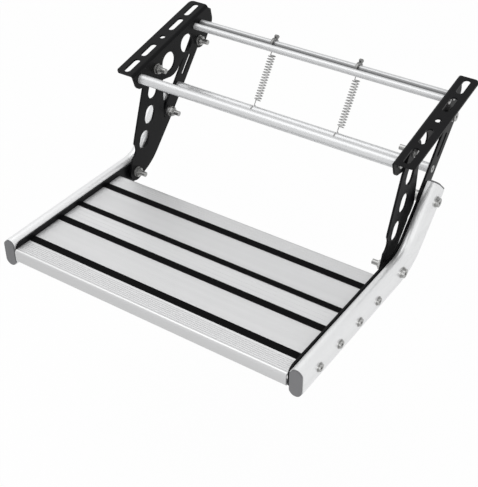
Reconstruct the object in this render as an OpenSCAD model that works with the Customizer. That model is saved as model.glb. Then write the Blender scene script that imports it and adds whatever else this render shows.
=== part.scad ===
// Caravan entry step: one folding tread carried by two four-bar side linkages.
// X runs across the doorway, Y points back under the floor and Z points up.
// The origin lies between the two small flange holes, on the face that bolts to the chassis.
// The step is drawn let down for use, as it stands in front of the door.

/* [Overall] */
// Clear width between the two side plates, which is also the tread's width
tread_w = 566; // [420:1:760]
// Distance of the rows of fixing slots outside the tread's ends
slot_outset = 9; // [7:0.5:12]

/* [Tread] */
// Depth of the tread from its rear edge to the front of its nose
tread_d = 277; // [250:1:330]
// Height of the tread section
tread_h = 26; // [23:0.5:34]
// Thickness of the tread's skin
skin_t = 2.6; // [2.2:0.1:3.4]
// Radius of the nose's edges
nose_round = 5.5; // [4:0.5:8]
// Depth of the band behind the rearmost grip strip
rear_band = 31; // [24:1:40]
// Depth of the band between the first and the second grip strip
wide_band = 57; // [52:1:62]
// Depth of the narrow band in the middle of the tread
mid_band = 36; // [32:1:44]
// Depth of the band between the foremost grip strip and the front of the nose
nose_band = 23; // [16:1:30]
// Width of a grip strip
strip_w = 17.5; // [12:0.5:20]
// Thickness of a grip strip
strip_t = 3; // [2:0.25:4]
// Height that a grip strip stands above the tread
strip_proud = 0.8; // [0.2:0.1:1.5]
// Distance between the fine ribs on the tread
rib_pitch = 3.4; // [2.6:0.2:6]
// Height of a fine rib
rib_h = 0.8; // [0.3:0.1:1]

/* [Rails] */
// Width of a side rail's section
rail_w = 24.5; // [22:0.5:30]
// Height of a side rail's section
rail_h = 54; // [50:0.5:60]
// Wall thickness of a side rail
rail_wall = 2; // [1.5:0.1:3]
// Distance of a rail's centre line below the tread's top
rail_drop = 13; // [11:0.5:16]
// Distance of a rail's open front end in front of the tread's nose
rail_lead = 11; // [6:1:30]
// Distance from the tread's rear edge back to where the rails start to bend
bend_start = 42; // [36:1:46]
// Bend radius of a rail's centre line
bend_r = 84; // [76:1:92]
// Angle through which a rail bends up
bend_angle = 46.5; // [44:0.5:48]
// Amount by which the bend draws the wall in on each of its faces
bend_draw = 0.05; // [0.02:0.01:0.2]
// Length of a rail beyond its upper pivot
rail_reach = 27; // [24:1:34]
// Thickness of an end cap's face
cap_t = 3; // [2:0.5:5]
// Distance of an end cap's edge inside the rail's outline
cap_inset = 1; // [0.5:0.1:1.5]
// Length of an end cap's plug
plug_l = 9; // [5:1:15]

/* [Steel plates] */
// Sheet thickness of the brackets
sheet_t = 3.5; // [2.5:0.25:4]
// Inside radius of the brackets' fold
fold_r = 2.5; // [1.5:0.25:3]
// Thickness of a side plate
plate_t = 3.5; // [2.5:0.25:4.5]
// Height of a side plate
plate_h = 45; // [42:1:48]
// Radius of a side plate's front corners
plate_end_r = 15; // [8:1:20]
// Thickness of an arm
arm_t = 4; // [3:0.25:5]
// Gap between plates that slide past each other
side_gap = 0.3; // [0.2:0.05:0.5]

/* [Brackets] */
// Length of a flange in front of its centre
flange_front = 125; // [122:1:140]
// Length of a flange behind its centre
flange_rear = 124; // [121:1:140]
// Distance that a bracket's web reaches behind its flange
web_past = 8; // [4:1:12]
// Distance from the slots' centre line to the flange's outer edge
slot_edge = 19.6; // [14:0.2:26]
// Distance between the two inner slots of a flange
inner_slots = 90; // [86:1:100]
// Distance between the two outer slots of a flange
outer_slots = 195; // [190:1:196]
// Length of a slot from end to end
slot_l = 41; // [30:1:44]
// Width of a slot
slot_w = 13; // [10:0.5:14]
// Bore of the small hole at a flange's centre
centre_bore = 11; // [8:0.5:13]

/* [Linkage] */
// Distance of the front pivot in front of the origin
front_pivot_y = 56.5; // [55:0.5:58]
// Distance of the front pivot below the flange
front_pivot_z = 30.5; // [29:0.5:33]
// Distance of the rear pivot behind the origin
rear_pivot_y = 80; // [78.5:0.5:81]
// Distance of the rear pivot below the flange
rear_pivot_z = 56; // [54.5:0.5:57]
// Length of a front arm between its pivots
front_arm_l = 209; // [207:0.5:211]
// Turn of a front arm from let down to folded away
fold_turn = 89.6; // [86:0.2:90]
// Length of a rear arm between its pivots
rear_arm_l = 153; // [152:0.5:155]
// Angle of the rear arms below the horizontal, step let down
rear_arm_angle = 37.6; // [37:0.2:39]
// Distance of the rail's front pivot behind the tread's rear edge
rail_pivot_v = 43; // [42:0.5:45]
// Distance of the rail's front pivot below the tread's top
rail_pivot_w = 10; // [8:0.5:12]
// Distance between the rail's two pivots, along the tread
rail_pivot_run = 116; // [115:0.5:118]
// Rise from the rail's front pivot to its rear pivot
rail_pivot_rise = 82; // [81:0.5:84]

/* [Bars and springs] */
// Diameter of the lower cross tube
front_tube_d = 19; // [16:0.5:21]
// Diameter of the upper cross tube
rear_tube_d = 13; // [11:0.5:15]
// Diameter of the bar that holds the springs
spring_bar_d = 16; // [14:0.5:17]
// Distance of the upper cross tube in front of the rear pivot
rear_tube_fore = 3.6; // [2:0.2:5]
// Distance of the upper cross tube above the rear pivot
rear_tube_up = 36; // [35:0.1:37]
// Distance of the spring bar behind the rear pivot
spring_bar_back = 16; // [15:0.5:18]
// Distance of the spring bar above the rear pivot
spring_bar_up = 29.5; // [28.5:0.5:30.5]
// Diameter of the tube between the rear arms
arm_tube_d = 18; // [16:0.5:20]
// Distance from a rear arm's upper pivot to the arm tube
arm_tube_at = 100; // [98:0.5:103]
// Distance of the left spring from the middle
left_spring_x = 97; // [60:1:180]
// Distance of the right spring from the middle
right_spring_x = 87; // [60:1:180]
// Outside diameter of a spring's coil
coil_d = 15; // [12:0.5:18]
// Wire diameter of a spring
wire_d = 2.4; // [2:0.2:3.2]
// Number of turns of a spring
coil_turns = 17; // [10:1:20]

/* [Fasteners] */
// Thread diameter of the pivot bolts
bolt_d = 10; // [9:0.5:10]
// Width across the flats of the pivot nuts
nut_w = 17; // [15:0.5:18]
// Height of a pivot nut
nut_h = 8; // [6:0.5:10]
// Length of thread that stands out of a pivot nut
stud_out = 12; // [4:1:15]
// Thread diameter of the screws in the bars and the tread
screw_d = 8; // [6:0.5:8.5]
// Play between a bolt or screw and its hole, on the radius
bolt_play = 0.05; // [0.02:0.01:0.1]
// Distance of the first tread screw in front of the rear edge
screw_first = 45; // [43:1:50]
// Distance of the last tread screw behind the front of the nose
screw_last = 39; // [34:1:44]
// Distance of the tread screws below the tread's top
screw_drop = 13; // [11:0.5:14]

/* [Hidden] */
$fn = 96;

steel_black = [0.13, 0.13, 0.14];
aluminium = [0.82, 0.83, 0.84];
grip_black = [0.07, 0.07, 0.07];
cap_grey = [0.42, 0.42, 0.43];
zinc = [0.7, 0.7, 0.68];

// Layers from the tread's end outwards, and inwards to the bracket
plate_x = tread_w / 2;
rail_x = plate_x + plate_t;
rail_out = rail_x + rail_w;
rail_front = tread_d + rail_lead;
rear_arm_x = plate_x - side_gap - arm_t;
front_arm_x = rear_arm_x - side_gap - arm_t;
web_out = front_arm_x - side_gap;
web_in = web_out - sheet_t;
fold_out = fold_r + sheet_t;
slot_x = plate_x + slot_outset;
flange_out = slot_x + slot_edge;

// Pivots of the linkage as [y, z], closed as a four-bar from the arm lengths
function dir(a) = [cos(a), sin(a)];
function heading(a, b) = atan2(b.y - a.y, b.x - a.x);
upper_front = [-front_pivot_y, -front_pivot_z];
upper_rear = [rear_pivot_y, -rear_pivot_z];
rail_pivot_front = [rail_pivot_v, -rail_pivot_w];
rail_pivot_rear = rail_pivot_front + [rail_pivot_run, rail_pivot_rise];
coupler_l = norm([rail_pivot_run, rail_pivot_rise]);
rear_heading = rear_arm_angle - 180;
lower_rear = upper_rear + rear_arm_l * dir(rear_heading);
reach = norm(lower_rear - upper_front);
elbow = acos((pow(front_arm_l, 2) + pow(reach, 2) - pow(coupler_l, 2)) / (2 * front_arm_l * reach));
front_heading = heading(upper_front, lower_rear) - elbow;
lower_front = upper_front + front_arm_l * dir(front_heading);
tilt = heading(lower_front, lower_rear) - atan2(rail_pivot_rise, rail_pivot_run);
tread_origin = lower_front - [
    rail_pivot_front.x * cos(tilt) - rail_pivot_front.y * sin(tilt),
    rail_pivot_front.x * sin(tilt) + rail_pivot_front.y * cos(tilt)];

// Radii of bolts, heads and washers
bolt_r = bolt_d / 2;
bolt_hole = bolt_r + bolt_play;
head_r = bolt_d * 0.85;
washer_r = bolt_d * 1.02;
washer_t = 1.5;
screw_r = screw_d / 2;
screw_hole = screw_r + bolt_play;
screw_head_r = screw_d * 0.85;
screw_head_h = arm_t - side_gap;

// Places of the grip strips and the tread screws, forward of the tread's rear edge
front_band = tread_d - rear_band - wide_band - mid_band - nose_band - 4 * strip_w;
strip_rears = [rear_band, rear_band + strip_w + wide_band,
    rear_band + 2 * strip_w + wide_band + mid_band,
    rear_band + 3 * strip_w + wide_band + mid_band + front_band];
screw_pitch = (tread_d - screw_first - screw_last) / 3;
screw_vs = [for (i = [0:3]) screw_first + i * screw_pitch];

// Holes of the bars in the brackets, as [y, z]
nose_r = 18.5;
nose = [nose_r + 2 - flange_front, -nose_r - 3.5];
front_tube_at = [nose.x, nose.y + 1.5];
rear_tube_at = upper_rear + [-rear_tube_fore, rear_tube_up];
spring_bar_at = upper_rear + [spring_bar_back, spring_bar_up];
arm_tube_pos = upper_rear + arm_tube_at * dir(rear_heading);

// Straight edges start this far inside the arcs they run out of, so that each join is clean
blend = 0.02;

// A round end at a and one at b with straight sides between them
module strap(a, ra, b, rb) {
    turn = heading(a, b);
    spread = acos((ra - rb) / norm(b - a));
    in_a = ra - blend;
    in_b = rb - blend;
    translate(a) circle(ra);
    translate(b) circle(rb);
    polygon([a + in_a * dir(turn - spread), b + in_b * dir(turn - spread),
        b + in_b * dir(turn + spread), a + in_a * dir(turn + spread)]);
}

// Turns an outline drawn as [y, z] into a plate of thickness t with its inner face at x
module plate(x, t) {
    translate([x, 0, 0]) rotate([90, 0, 90]) linear_extrude(t) children();
}

// A round bar along X from x to x + l at the point p as [y, z]
module across(x, l, p, r) {
    translate([x, p.x, p.y]) rotate([0, 90, 0]) cylinder(r = r, h = l);
}

// Extrudes an outline drawn as [x, z] backwards from y = 0
module backward(l) {
    rotate([90, 0, 0]) mirror([0, 0, 1]) linear_extrude(l) children();
}

// Places the tread's own frame, whose Y runs along the tread and Z stands on it
module on_step() {
    translate([0, tread_origin.x, tread_origin.y]) rotate([tilt, 0, 0]) children();
}

module on_left() {
    mirror([1, 0, 0]) children();
}

module both_sides() {
    children();
    on_left() children();
}

// Brackets: one folded sheet each

lobe_front = [-14, -39];
lobe_r = 36;
front_hole = [-20, -40];
front_hole_r = 20;
rear_hole = [41, -37];
rear_hole_r = 18.5;
web_rear = flange_rear + web_past;
rear_corner_r = 20;
rear_corner = [web_rear - rear_corner_r, -32];
pivot_lobe_r = 23;
pivot_lobe = upper_rear + [6, 5];
waist_r = 60;

// The centre of the waist's arc, which touches both lobes from below
function below(a, ra, b, rb) = let (
    span = norm(b - a),
    along = (pow(ra, 2) - pow(rb, 2) + pow(span, 2)) / (2 * span),
    turn = heading(a, b))
    a + along * dir(turn) + sqrt(pow(ra, 2) - pow(along, 2)) * dir(turn - 90);
waist = below(lobe_front, lobe_r + waist_r, pivot_lobe, pivot_lobe_r + waist_r);

module web_outline() {
    strap(nose, nose_r, lobe_front, lobe_r);
    strap(rear_corner, rear_corner_r, pivot_lobe, pivot_lobe_r);
    difference() {
        polygon([[-flange_front, 0], [nose.x - nose_r + blend, nose.y], nose, lobe_front,
            lobe_front + (lobe_r - 1) * dir(heading(lobe_front, waist)),
            pivot_lobe + (pivot_lobe_r - 1) * dir(heading(pivot_lobe, waist)), pivot_lobe, rear_corner,
            rear_corner + [rear_corner_r - blend, 0], [web_rear - blend, -fold_out - web_past],
            [flange_rear, -fold_out], [flange_rear, 0]]);
        translate(waist) circle(waist_r + blend);
    }
}

module folded_section() {
    translate([web_in, -front_arm_l]) square([sheet_t, front_arm_l - fold_out]);
    translate([web_in + fold_out, -sheet_t]) square([flange_out - web_in - fold_out, sheet_t]);
    translate([web_in + fold_out, -fold_out]) intersection() {
        difference() {
            circle(fold_out);
            circle(fold_r);
        }
        translate([-fold_out, 0]) square(fold_out);
    }
}

module flange_outline() {
    corner = 9;
    square_to = flange_out - corner;
    translate([web_in, -flange_front]) square([square_to - web_in, flange_front + flange_rear]);
    translate([square_to, corner - flange_front]) square([corner, flange_front + flange_rear - 2 * corner]);
    translate([web_in, flange_rear - corner]) square([sheet_t, web_past + corner]);
    translate([square_to, corner - flange_front]) circle(corner);
    translate([square_to, flange_rear - corner]) circle(corner);
}

module slot_outline() {
    strap([0, (slot_w - slot_l) / 2], slot_w / 2, [0, (slot_l - slot_w) / 2], slot_w / 2);
}

module bracket() {
    color(steel_black) difference() {
        intersection() {
            translate([0, -flange_front, 0]) backward(flange_front + web_rear) folded_section();
            plate(web_in, flange_out - web_in) web_outline();
            translate([0, 0, -front_arm_l]) linear_extrude(front_arm_l) flange_outline();
        }
        translate([slot_x, 0, -sheet_t]) {
            for (y = [-outer_slots / 2, -inner_slots / 2, inner_slots / 2, outer_slots / 2])
                translate([0, y, -1]) linear_extrude(sheet_t + 2) slot_outline();
            translate([0, 0, -1]) cylinder(d = centre_bore, h = sheet_t + 2);
        }
        across(web_in - 1, sheet_t + 2, front_hole, front_hole_r);
        across(web_in - 1, sheet_t + 2, rear_hole, rear_hole_r);
        across(web_in - 1, sheet_t + 2, upper_front, bolt_hole);
        across(web_in - 1, sheet_t + 2, upper_rear, bolt_hole);
        across(web_in - 1, sheet_t + 2, front_tube_at, screw_hole);
        across(web_in - 1, sheet_t + 2, rear_tube_at, screw_hole);
        across(web_in - 1, sheet_t + 2, spring_bar_at, screw_hole);
    }
}

module left_bracket() { on_left() bracket(); }
module right_bracket() { bracket(); }

// Cross tubes and bars between the webs, with a bore that takes the end screws
module tube(half, p, d) {
    color(aluminium) difference() {
        across(-half, 2 * half, p, d / 2);
        across(-half - 1, 2 * half + 2, p, screw_r);
    }
}

module front_cross_tube() { tube(web_in, front_tube_at, front_tube_d); }
module rear_cross_tube() { tube(web_in, rear_tube_at, rear_tube_d); }
module spring_bar() { tube(web_in, spring_bar_at, spring_bar_d); }
module arm_tube() { tube(rear_arm_x, arm_tube_pos, arm_tube_d); }

// A screw with a flat round head whose underside is at x, reaching inwards by l
module end_screw(x, p, l) {
    color(zinc) {
        across(x - l, l, p, screw_r);
        difference() {
            across(x, screw_head_h, p, screw_head_r);
            translate([x + screw_head_h / 2, p.x, p.y]) rotate([0, 90, 0])
                cylinder(d = screw_d * 0.7, h = screw_head_h, $fn = 6);
        }
    }
}

module bar_screws() {
    both_sides() for (p = [front_tube_at, rear_tube_at, spring_bar_at])
        end_screw(web_out, p, sheet_t + 2 * screw_d);
}

module arm_tube_screws() {
    both_sides() color(zinc) difference() {
        union() {
            across(rear_arm_x - 2 * screw_d, arm_t + 2 * screw_d, arm_tube_pos, screw_r);
            sunk_head(0);
        }
        translate([rear_arm_x + arm_t / 2, arm_tube_pos.x, arm_tube_pos.y]) rotate([0, 90, 0])
            cylinder(d = screw_d * 0.6, h = arm_t, $fn = 6);
    }
}

// Pivot bolts with a flanged dome head whose underside is at x
module pivot_bolt(x, p, l) {
    color(zinc) {
        across(x - l, l, p, bolt_r);
        across(x, washer_t, p, washer_r);
        translate([x + washer_t, p.x, p.y]) rotate([0, 90, 0]) rotate_extrude()
            difference() {
                intersection() {
                    translate([0, -head_r]) circle(2 * head_r);
                    square([head_r, bolt_r]);
                }
                translate([0, bolt_r / 2]) square([bolt_r * 0.6, bolt_r]);
            }
    }
}

// A washer and a lock nut on the inner side of a layer whose inner face is at x
module pivot_nut(x, p) {
    color(zinc) difference() {
        union() {
            across(x - washer_t, washer_t, p, washer_r);
            translate([x - washer_t - nut_h * 0.75, p.x, p.y]) rotate([0, 90, 0])
                cylinder(d = nut_w / cos(30), h = nut_h * 0.75, $fn = 6);
            across(x - washer_t - nut_h, nut_h * 0.25, p, nut_w * 0.42);
        }
        across(x - washer_t - nut_h - 1, washer_t + nut_h + 2, p, bolt_r);
    }
}

stud_l = washer_t + nut_h + stud_out;

module upper_front_bolts() {
    both_sides() pivot_bolt(front_arm_x + arm_t, upper_front, front_arm_x + arm_t - web_in + stud_l);
}

// The upper rear bolts hold a bush that fills the front arms' layer
bush_r = bolt_r + 2;

module upper_rear_bolts() {
    both_sides() {
        pivot_bolt(rear_arm_x + arm_t, upper_rear, rear_arm_x + arm_t - web_in + stud_l);
        color(zinc) across(web_out, rear_arm_x - web_out, upper_rear, bush_r);
    }
}

module upper_front_nuts() { both_sides() pivot_nut(web_in, upper_front); }
module upper_rear_nuts() { both_sides() pivot_nut(web_in, upper_rear); }

// Front arms: broad plates with three openings and a notch that clears the tread's rear edge

arm_top_r = 22;
arm_front_r = 20.5;
arm_front_high = [42, -7];
arm_front_low = [front_arm_l - 69, -4.5];
arm_back_r = 14;
arm_end_r = 19;
arm_hole_w = 28;
arm_hole_l = 38;
arm_room = 10;
notch_at = [front_arm_l - 40.5, -33.5];
notch_r = 19;

// The lower rear pivot as the front arm sees it, which its back corner stays clear of
rear_seen = norm(lower_rear - upper_front) * dir(heading(upper_front, lower_rear) - front_heading);
arm_back = rear_seen + [10, -arm_back_r - washer_r - arm_room];
arm_hole_at = [[42, 5], [(front_arm_l - 23) / 2, 9], [front_arm_l - 65, 6]];

// The bush as the front arm sees it once folded away, where the arm's back edge is hollowed for it
bush_seen = norm(upper_rear - upper_front)
    * dir(heading(upper_front, upper_rear) - front_heading - fold_turn);

module front_arm_outline() {
    end = [front_arm_l, 0];
    difference() {
        union() {
            strap([0, 0], arm_top_r, arm_front_high, arm_front_r);
            strap(arm_front_high, arm_front_r, arm_front_low, arm_front_r);
            strap(arm_front_low, arm_front_r, end, arm_end_r);
            strap(end, arm_end_r, arm_back, arm_back_r);
            strap(arm_back, arm_back_r, [0, 0], arm_top_r);
            polygon([[0, 0], arm_front_high, arm_front_low, end, arm_back]);
        }
        translate(notch_at) circle(notch_r);
        translate(bush_seen) circle(bush_r + 2 * side_gap);
        circle(bolt_hole);
        translate(end) circle(bolt_hole);
        for (p = arm_hole_at)
            strap(p - [(arm_hole_l - arm_hole_w) / 2, 0], arm_hole_w / 2,
                p + [(arm_hole_l - arm_hole_w) / 2, 0], arm_hole_w / 2);
    }
}

module front_arm() {
    color(steel_black) plate(front_arm_x, arm_t)
        translate(upper_front) rotate(front_heading) front_arm_outline();
}

module left_front_arm() { on_left() front_arm(); }
module right_front_arm() { front_arm(); }

module lower_front_nuts() { both_sides() pivot_nut(front_arm_x, lower_front); }

// Rear arms: flat bars with a long slot below the upper pivot

rear_arm_w = 31;
rear_slot_w = 8;
rear_slot_from = 35;
rear_slot_to = 73;

module rear_arm_outline() {
    difference() {
        strap([0, 0], rear_arm_w / 2 + 1.5, [rear_arm_l, 0], rear_arm_w / 2);
        strap([rear_slot_from, 0], rear_slot_w / 2, [rear_slot_to, 0], rear_slot_w / 2);
        circle(bolt_hole);
        translate([rear_arm_l, 0]) circle(bolt_hole);
        translate([arm_tube_at, 0]) circle(screw_hole);
    }
}

module rear_arm() {
    color(steel_black) difference() {
        plate(rear_arm_x, arm_t) translate(upper_rear) rotate(rear_heading) rear_arm_outline();
        sunk_head(bolt_play);
    }
}

// The cone of an arm tube screw's head, which lies flush in the rear arm
module sunk_head(play) {
    depth = arm_t * 0.8;
    tip_r = screw_r * 0.9 + play;
    translate([rear_arm_x + arm_t - depth, arm_tube_pos.x, arm_tube_pos.y]) rotate([0, 90, 0])
        cylinder(r1 = tip_r, r2 = tip_r + depth, h = depth);
}

module left_rear_arm() { on_left() rear_arm(); }
module right_rear_arm() { rear_arm(); }

// Rails: a rounded tube, straight beside the tread and bent up to the rear pivot

bend_top = [bend_start, bend_r - rail_drop];
rail_up = dir(bend_angle);
up_to_pivot = (rail_pivot_rear - bend_top) * rail_up;
up_l = up_to_pivot + rail_reach;

module stadium(w, h) {
    strap([0, (w - h) / 2], w / 2, [0, (h - w) / 2], w / 2);
}

module rail_section(inset) {
    stadium(rail_w - 2 * inset, rail_h - 2 * inset);
}

// Carries the straight ends' section, and the bend's, along the rails' centre line
module along_rail(front, up) {
    translate([0, -front, -rail_drop]) backward(front + bend_start) children(0);
    translate([0, bend_top.x, bend_top.y]) {
        rotate([90, 0, 90]) rotate([0, 0, -90]) rotate_extrude(angle = bend_angle)
            translate([bend_r, 0]) rotate(90) children(1);
        rotate([bend_angle, 0, 0]) translate([0, 0, -bend_r]) backward(up) children(0);
    }
}

module rail_wall_section(drawn) {
    translate([rail_x + rail_w / 2, 0]) difference() {
        rail_section(drawn);
        rail_section(rail_wall - drawn);
    }
}

module rail() {
    color(aluminium) on_step() difference() {
        along_rail(rail_front, up_l) {
            rail_wall_section(0);
            rail_wall_section(bend_draw);
        }
        across(rail_x - 1, rail_w + 2, rail_pivot_front, bolt_hole);
        across(rail_x - 1, rail_w + 2, rail_pivot_rear, bolt_hole);
        for (v = screw_vs)
            across(rail_x - 1, rail_w + 2, [-v, -screw_drop], screw_hole);
    }
}

module left_rail() { on_left() rail(); }
module right_rail() { rail(); }

// An end cap: a face of the rail's outline and a plug that pushes into the tube
module end_cap() {
    color(cap_grey) translate([rail_x + rail_w / 2, 0, 0]) {
        backward(cap_t) rail_section(cap_inset);
        translate([0, -plug_l, 0]) backward(plug_l) rail_section(rail_wall + side_gap);
    }
}

module front_cap() {
    on_step() translate([0, -rail_front, -rail_drop]) mirror([0, 1, 0]) end_cap();
}

module top_cap() {
    on_step() translate([0, bend_top.x, bend_top.y]) rotate([bend_angle, 0, 0])
        translate([0, up_l, -bend_r]) end_cap();
}

module left_front_cap() { on_left() front_cap(); }
module right_front_cap() { front_cap(); }
module left_top_cap() { on_left() top_cap(); }
module right_top_cap() { top_cap(); }

// Side plates: steel between the rails and the tread, following the rails' bend

module side_plate_outline() {
    half = plate_h / 2;
    past_end = 2 * (bend_r + half);
    end_r = half - bend_draw;
    overlap = 0.5;
    difference() {
        union() {
            translate([plate_end_r - rail_front, -rail_drop]) stadium(2 * plate_end_r, 2 * end_r);
            translate([plate_end_r - rail_front, -rail_drop - half])
                square([rail_front - plate_end_r + bend_start, plate_h]);
            translate(bend_top) {
                intersection() {
                    difference() {
                        circle(bend_r + end_r);
                        circle(bend_r - end_r);
                    }
                    polygon([[0, 0], past_end * dir(-90 - overlap),
                        past_end * dir(bend_angle + overlap - 90)]);
                }
                rotate(bend_angle) translate([0, -bend_r]) {
                    translate([0, -half]) square([up_to_pivot, plate_h]);
                    translate([up_to_pivot, 0]) circle(end_r);
                }
            }
        }
        translate(rail_pivot_front) circle(bolt_hole);
        translate(rail_pivot_rear) circle(bolt_hole);
        for (v = screw_vs)
            translate([-v, -screw_drop]) circle(screw_hole);
    }
}

module side_plate() {
    color(steel_black) on_step() plate(plate_x, plate_t) side_plate_outline();
}

module left_side_plate() { on_left() side_plate(); }
module right_side_plate() { side_plate(); }

// Tread: one extrusion with ribbed bands, strip channels, screw channels and a round nose

foot_l = 9;
nose_l = nose_round + 3;

// The ribs of one band that starts at v and is l deep
module band_ribs(v, l) {
    n = floor((l - rib_pitch / 2) / rib_pitch);
    first = v + (l - (n - 1) * rib_pitch) / 2;
    for (i = [0:n - 1])
        translate([-first - i * rib_pitch, -rib_h])
            polygon([[-rib_pitch * 0.32, 0], [rib_pitch * 0.32, 0],
                [rib_pitch * 0.18, rib_h], [-rib_pitch * 0.18, rib_h]]);
}

// The four broad ribs of the middle band
module broad_ribs(v, l) {
    n = 4;
    for (i = [0:n - 1])
        translate([-v - l * (i + 0.5) / n, -rib_h])
            polygon([[-l * 0.36 / n, 0], [l * 0.36 / n, 0], [l * 0.3 / n, rib_h], [-l * 0.3 / n, rib_h]]);
}

// The box-shaped nose with round edges, less inset all round
module nose_block(inset, l) {
    r = nose_round - inset;
    translate([nose_round - tread_d, -nose_round]) circle(r);
    translate([nose_round - tread_d, nose_round - tread_h]) circle(r);
    translate([inset + blend - tread_d, nose_round - tread_h]) square([r, tread_h - 2 * nose_round]);
    translate([nose_round - tread_d, inset + blend - tread_h])
        square([l - nose_round, tread_h - 2 * inset - 2 * blend]);
}

module tread_section() {
    top = -rib_h;
    front = nose_round - tread_d;
    difference() {
        union() {
            translate([front, top - skin_t]) square([-front, skin_t]);
            translate([-skin_t, -tread_h]) square([skin_t, tread_h]);
            translate([-foot_l, -tread_h]) square([foot_l, skin_t]);
            difference() {
                nose_block(0, nose_l);
                nose_block(skin_t, nose_l + 1);
            }
            translate([front, -tread_h]) square([foot_l, skin_t]);
            band_ribs(0, rear_band);
            band_ribs(strip_rears[0] + strip_w, wide_band);
            broad_ribs(strip_rears[1] + strip_w, mid_band);
            band_ribs(strip_rears[2] + strip_w, front_band);
            band_ribs(strip_rears[3] + strip_w, tread_d - strip_rears[3] - strip_w - nose_l);
            for (v = strip_rears)
                translate([-v - strip_w - skin_t, -strip_t - skin_t])
                    square([strip_w + 2 * skin_t, strip_t + skin_t - rib_h]);
            for (v = screw_vs) {
                translate([-v - skin_t / 2, -tread_h]) square([skin_t, tread_h - rib_h]);
                translate([-v, -screw_drop]) circle(screw_r + skin_t);
                translate([-v - foot_l / 2, -tread_h]) square([foot_l, skin_t]);
            }
        }
        for (v = strip_rears)
            translate([-v - strip_w, strip_proud - strip_t]) square([strip_w, strip_t]);
        for (v = screw_vs)
            translate([-v, -screw_drop]) circle(screw_r);
    }
}

module tread() {
    color(aluminium) on_step() plate(-plate_x, tread_w) tread_section();
}

// Grip strips: ribbed inlays that lie in the tread's channels
module grip_strip(i) {
    ribs = 5;
    pitch = strip_w / ribs;
    color(grip_black) on_step() plate(-plate_x, tread_w)
        translate([-strip_rears[i] - strip_w, strip_proud - strip_t]) difference() {
            square([strip_w, strip_t]);
            for (k = [1:ribs - 1])
                translate([k * pitch - pitch * 0.15, strip_t - strip_proud / 2])
                    square([pitch * 0.3, strip_proud]);
        }
}

module grip_strip_1() { grip_strip(0); }
module grip_strip_2() { grip_strip(1); }
module grip_strip_3() { grip_strip(2); }
module grip_strip_4() { grip_strip(3); }

// Screws through the rails and side plates into the tread's screw channels
module tread_screws() {
    on_step() both_sides() for (v = screw_vs) {
        end_screw(rail_out, [-v, -screw_drop], rail_w + plate_t + 3 * screw_d);
        color(zinc) difference() {
            across(rail_out, washer_t / 2, [-v, -screw_drop], screw_head_r * 1.25);
            across(rail_out - 1, washer_t + 2, [-v, -screw_drop], screw_head_r);
        }
    }
}

// Lower front pivots: a bolt through rail, side plate and arm, with a ring in the outer arm layer
module lower_front_bolts() {
    both_sides() {
        pivot_bolt(rail_out, lower_front, rail_out - front_arm_x + stud_l);
        color(zinc) across(rear_arm_x, plate_x - rear_arm_x, lower_front, washer_r);
    }
}

// Lower rear pivots: the head and shank in the rails, and the rest that stays with the rear arms
module lower_rear_bolts() {
    both_sides() pivot_bolt(rail_out, lower_rear, rail_out - plate_x);
}

module lower_rear_nuts() {
    both_sides() {
        pivot_nut(front_arm_x, lower_rear);
        color(zinc) across(front_arm_x, rear_arm_x - front_arm_x, lower_rear, washer_r);
        color(zinc) across(front_arm_x - stud_l, stud_l + side_gap + 2 * arm_t, lower_rear, bolt_r);
    }
}

// Springs: drawn-out coils with a hook over the spring bar and one round the arm tube

wire_r = wire_d / 2;
wire_sides = 6;
turn_steps = 12;
spring_l = norm(arm_tube_pos - spring_bar_at);
top_hook_r = spring_bar_d / 2 + side_gap + wire_r;
low_hook_r = arm_tube_d / 2 + side_gap + wire_r;
coil_r = (coil_d - wire_d) / 2;
coil_from = top_hook_r + 6;
coil_to = spring_l - low_hook_r - 5;

function unit(v) = v / norm(v);

// The wire's middle line as [x, along, up], with the spring bar's centre at the origin
function spring_path() = concat(
    [for (a = [-40:20:180]) [0, -top_hook_r * cos(a), top_hook_r * sin(a)]],
    [for (i = [0:coil_turns * turn_steps])
        let (a = -90 + 360 * i / turn_steps)
        [coil_r * cos(a), coil_from + (coil_to - coil_from) * i / (coil_turns * turn_steps),
            coil_r * sin(a)]],
    [for (a = [180:-20:-40]) [0, spring_l + low_hook_r * cos(a), low_hook_r * sin(a)]]);

// Carries a side direction along the path without twist
function carried(path) = [for (i = 0, t = unit(path[1] - path[0]), s = unit(cross(t, [1, 0, 0]));
    i < len(path);
    i = i + 1,
    t = unit(path[min(i + 1, len(path) - 1)] - path[max(i - 1, 0)]),
    s = unit(s - (s * t) * t)) [t, s]];

module wire(path) {
    frames = carried(path);
    rings = [for (i = [0:len(path) - 1]) for (k = [0:wire_sides - 1])
        let (a = 360 * k / wire_sides, t = frames[i][0], s = frames[i][1])
        path[i] + wire_r * (cos(a) * s + sin(a) * cross(t, s))];
    last = (len(path) - 1) * wire_sides;
    polyhedron(rings, concat(
        [[for (k = [0:wire_sides - 1]) k]],
        [for (i = [0:len(path) - 2]) for (k = [0:wire_sides - 1])
            let (n = (k + 1) % wire_sides, a = i * wire_sides, b = a + wire_sides)
            [a + k, b + k, b + n, a + n]],
        [[for (k = [wire_sides - 1:-1:0]) last + k]]));
}

module spring(x) {
    color(zinc) translate([x, spring_bar_at.x, spring_bar_at.y])
        rotate([heading(spring_bar_at, arm_tube_pos), 0, 0]) wire(spring_path());
}

module left_spring() { spring(-left_spring_x); }
module right_spring() { spring(right_spring_x); }

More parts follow.
